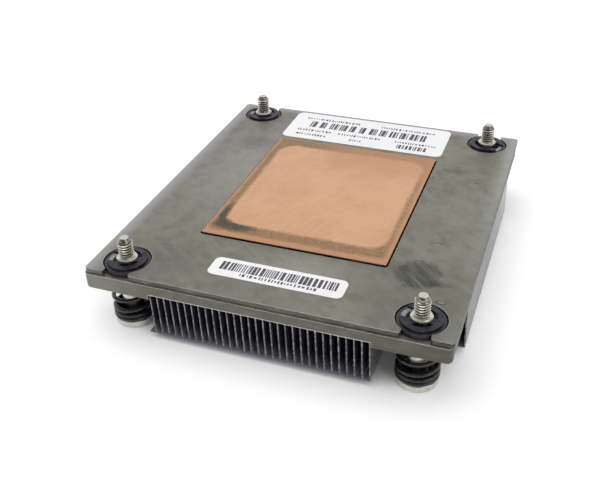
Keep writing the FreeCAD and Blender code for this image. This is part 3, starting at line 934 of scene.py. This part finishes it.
moulded = black_finish("moulded_black", 0.0, srgb(36, 33, 42), srgb(74, 70, 82), 0.34,
                       0.2 * mm, 0.85)
oxide = black_finish("black_oxide", 0.5, srgb(42, 38, 50), srgb(90, 86, 100), 0.3, 0.15 * mm, 0.0)
cover(["washer_" + corner for corner in corners], moulded)
cover(["clip_" + corner for corner in corners], oxide)


# ---- Labels -------------------------------------------------------------------------------
# White film stuck to the stiffener plate. The print on it is plain bars and short dashes of
# black ink, laid a hair above the film.

ink_height = 0.03 * mm


def film_finish():
    material, tree, shader, where = new_material("label_film", Roughness=0.42)
    shade = place_group(tree, blotches, {"Vector": where, "Scale": 90.0,
                                         "Low": 0.4, "High": 0.75})["Mask"]
    colour = tint(tree, shade, srgb(250, 250, 250), srgb(241, 242, 243))
    waves = put(tree, "TexNoise", {"Vector": where, "Scale": 220.0, "Detail": 2.0}).outputs[0]
    bump = put(tree, "Bump", {"Height": waves, "Strength": 0.1, "Distance": 0.05 * mm})
    connect(tree, shader, Base_Color=colour, Normal=bump.outputs[0])
    return material


def ink_finish():
    material, tree, shader, where = new_material("printed_ink")
    shade = place_group(tree, blotches, {"Vector": where, "Scale": 1500.0,
                                         "Low": 0.35, "High": 0.7})["Mask"]
    colour = tint(tree, shade, srgb(56, 52, 66), srgb(104, 100, 116))
    rough = calc(tree, "ADD", 0.45, times(tree, shade, 0.1))
    connect(tree, shader, Base_Color=colour, Roughness=rough)
    return material


def stamp(bm, x, y, width, depth, level):
    """One printed mark, centred on (x, y)."""
    made = bmesh.ops.create_cube(bm, size=1.0)["verts"]
    bmesh.ops.scale(bm, vec=(width, depth, ink_height), verts=made)
    bmesh.ops.translate(bm, vec=(x, y, level + ink_height / 2), verts=made)


def print_bars(bm, chance, start, stop, y, depth, level, widths, gaps):
    """A run of upright bars of uneven width, from start to stop."""
    x = start
    while x < stop:
        width = min(chance.choice(widths) * mm, stop - x)
        stamp(bm, x + width / 2, y, width, depth, level)
        x += width + chance.choice(gaps) * mm


def print_dashes(bm, chance, start, stop, y, depth, level):
    """A line of small dashes that stands where a line of print would."""
    x = start
    while x < stop:
        width = chance.choice((0.35, 0.5, 0.7)) * mm
        stamp(bm, x + width / 2, y, width, depth * chance.choice((0.6, 1.0)), level)
        x += width + chance.choice((0.4, 0.6)) * mm


def ink_piece(name, bm, ink):
    """Fixes a label's print to the heatsink."""
    mesh = mesh_from(bm)
    mesh.materials.append(ink)
    piece = bpy.data.objects.new(name, mesh)
    bpy.context.scene.collection.objects.link(piece)
    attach(piece, "heatsink")


cover(["label_rear", "label_front"], film_finish())
ink = ink_finish()

low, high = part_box("label_rear")
chance = random.Random(7)
bm = bmesh.new()
bar_groups = 12
bar_left, bar_right = low.x + 7.0 * mm, high.x - 5.6 * mm
bar_y, bar_depth = high.y - 8.3 * mm, 4.6 * mm
group_pitch = (bar_right - bar_left) / bar_groups
for i in range(bar_groups):
    start = bar_left + i * group_pitch
    print_bars(bm, chance, start, start + chance.uniform(0.55, 0.85) * group_pitch, bar_y,
               bar_depth, high.z, (0.5, 0.8, 1.2), (0.25, 0.4))
print_bars(bm, chance, high.x - 15.4 * mm, bar_right, low.y + 3.6 * mm, 2.8 * mm, high.z,
           (0.3, 0.5, 0.8), (0.3, 0.5))
# Lines of dashes: start and stop from the label's left edge, and drop from its rear edge.
for start, stop, drop in ((4.4, 23.4, 3.9), (31.4, 49.8, 3.9), (3.9, 15.9, 13.3),
                          (18.4, 33.4, 13.3), (38.4, 51.9, 13.3), (4.4, 14.4, 16.6),
                          (23.4, 27.4, 16.6)):
    print_dashes(bm, chance, low.x + start * mm, low.x + stop * mm, high.y - drop * mm,
                 1.3 * mm, high.z)
ink_piece("print_rear", bm, ink)

low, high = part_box("label_front")
bm = bmesh.new()
print_bars(bm, chance, low.x + 2.5 * mm, high.x - 2.0 * mm, high.y - 3.3 * mm, 3.6 * mm, high.z,
           (0.3, 0.3, 0.6, 0.9), (0.25, 0.3, 0.5))
print_dashes(bm, chance, low.x + 8.9 * mm, high.x - 7.8 * mm, low.y + 1.75 * mm, 1.2 * mm, high.z)
ink_piece("print_front", bm, ink)


# ---- Floor, light and camera --------------------------------------------------------------
# A plain white floor and a pale surround, brighter behind the object than above the camera,
# with one broad lamp overhead and a weaker one at the right.

centre = Vector((0.0, 0.0, plate_high.z))
floor_half = 3.0
camera_offset = (0.06617, -0.20196, 0.12212)
camera_angles = (56.30, 0.974, 19.74)
camera_lens = 48.8
white = (1.0, 1.0, 1.0, 1.0)


def white_floor():
    """Floor that keeps its shadow, lifted to white for seen and mirrored rays in the open."""
    bm = bmesh.new()
    bmesh.ops.create_grid(bm, x_segments=1, y_segments=1, size=floor_half)
    mesh = mesh_from(bm)
    material, tree, shader, where = new_material("white_floor", Roughness=0.9)
    grain = put(tree, "TexNoise", {"Vector": where, "Scale": 4.0, "Detail": 2.0}).outputs[0]
    colour = tint(tree, grain, srgb(238, 238, 238), srgb(242, 242, 242))
    connect(tree, shader, Base_Color=colour)
    shader.inputs["Emission Color"].default_value = white
    rays = tree.nodes.new("ShaderNodeLightPath").outputs
    seen = calc(tree, "MAXIMUM", rays["Is Camera Ray"],
                calc(tree, "MAXIMUM", rays["Is Glossy Ray"], rays["Is Transmission Ray"]))
    open_floor = put(tree, "AmbientOcclusion", {"Distance": 40.0 * mm}, samples=8).outputs["AO"]
    reach = put(tree, "VectorMath", {0: where}, operation="LENGTH").outputs["Value"]
    level = calc(tree, "ADD", ramp(tree, open_floor, 0.05, 0.45, 0.0, 0.3),
                 ramp(tree, reach, 0.3, 1.6, 0.0, 0.35))
    connect(tree, shader, Emission_Strength=times(tree, level, seen))
    mesh.materials.append(material)
    floor = bpy.data.objects.new("floor", mesh)
    bpy.context.scene.collection.objects.link(floor)


def pale_surround():
    """World that is grey above the camera, pale behind the object and white at the horizon."""
    world = bpy.data.worlds.new("pale_surround")
    world.use_nodes = True
    bpy.context.scene.world = world
    tree = world.node_tree
    background = tree.nodes["Background"]
    heading = tree.nodes.new("ShaderNodeTexCoord").outputs["Generated"]
    behind = put(tree, "VectorMath", {0: heading, 1: (-0.2, 0.6, 0.77)},
                 operation="DOT_PRODUCT").outputs["Value"]
    shade = tint(tree, ramp(tree, behind, -0.25, 0.85), srgb(60, 62, 64), srgb(233, 233, 233))
    height = part_of(tree, heading)["Z"]
    colour = tint(tree, ramp(tree, height, 0.12, 0.28), white, shade)
    tree.links.new(colour, background.inputs["Color"])


def lamp(name, place, size, power, mirrored):
    """Square lamp that faces the object, and shows in its mirroring or not."""
    light = bpy.data.lights.new(name, "AREA")
    light.energy = power
    light.size = size
    holder = bpy.data.objects.new(name, light)
    holder.visible_glossy = mirrored
    holder.location = centre + Vector(place)
    holder.rotation_euler = Vector(place).to_track_quat("Z", "Y").to_euler()
    bpy.context.scene.collection.objects.link(holder)


def view_from(offset, angles, lens):
    camera = bpy.data.cameras.new("camera")
    camera.lens = lens
    camera.sensor_width = 36.0
    camera.clip_start = 0.01
    holder = bpy.data.objects.new("camera", camera)
    holder.location = centre + Vector(offset)
    holder.rotation_euler = [math.radians(a) for a in angles]
    bpy.context.scene.collection.objects.link(holder)
    bpy.context.scene.camera = holder


white_floor()
pale_surround()
lamp("overhead", (-0.15, 0.0, 0.9), 0.9, 3.5, False)
lamp("right", (0.65, -0.35, 0.35), 0.5, 0.9, True)
view_from(camera_offset, camera_angles, camera_lens)
bpy.context.scene.view_settings.view_transform = "Standard"
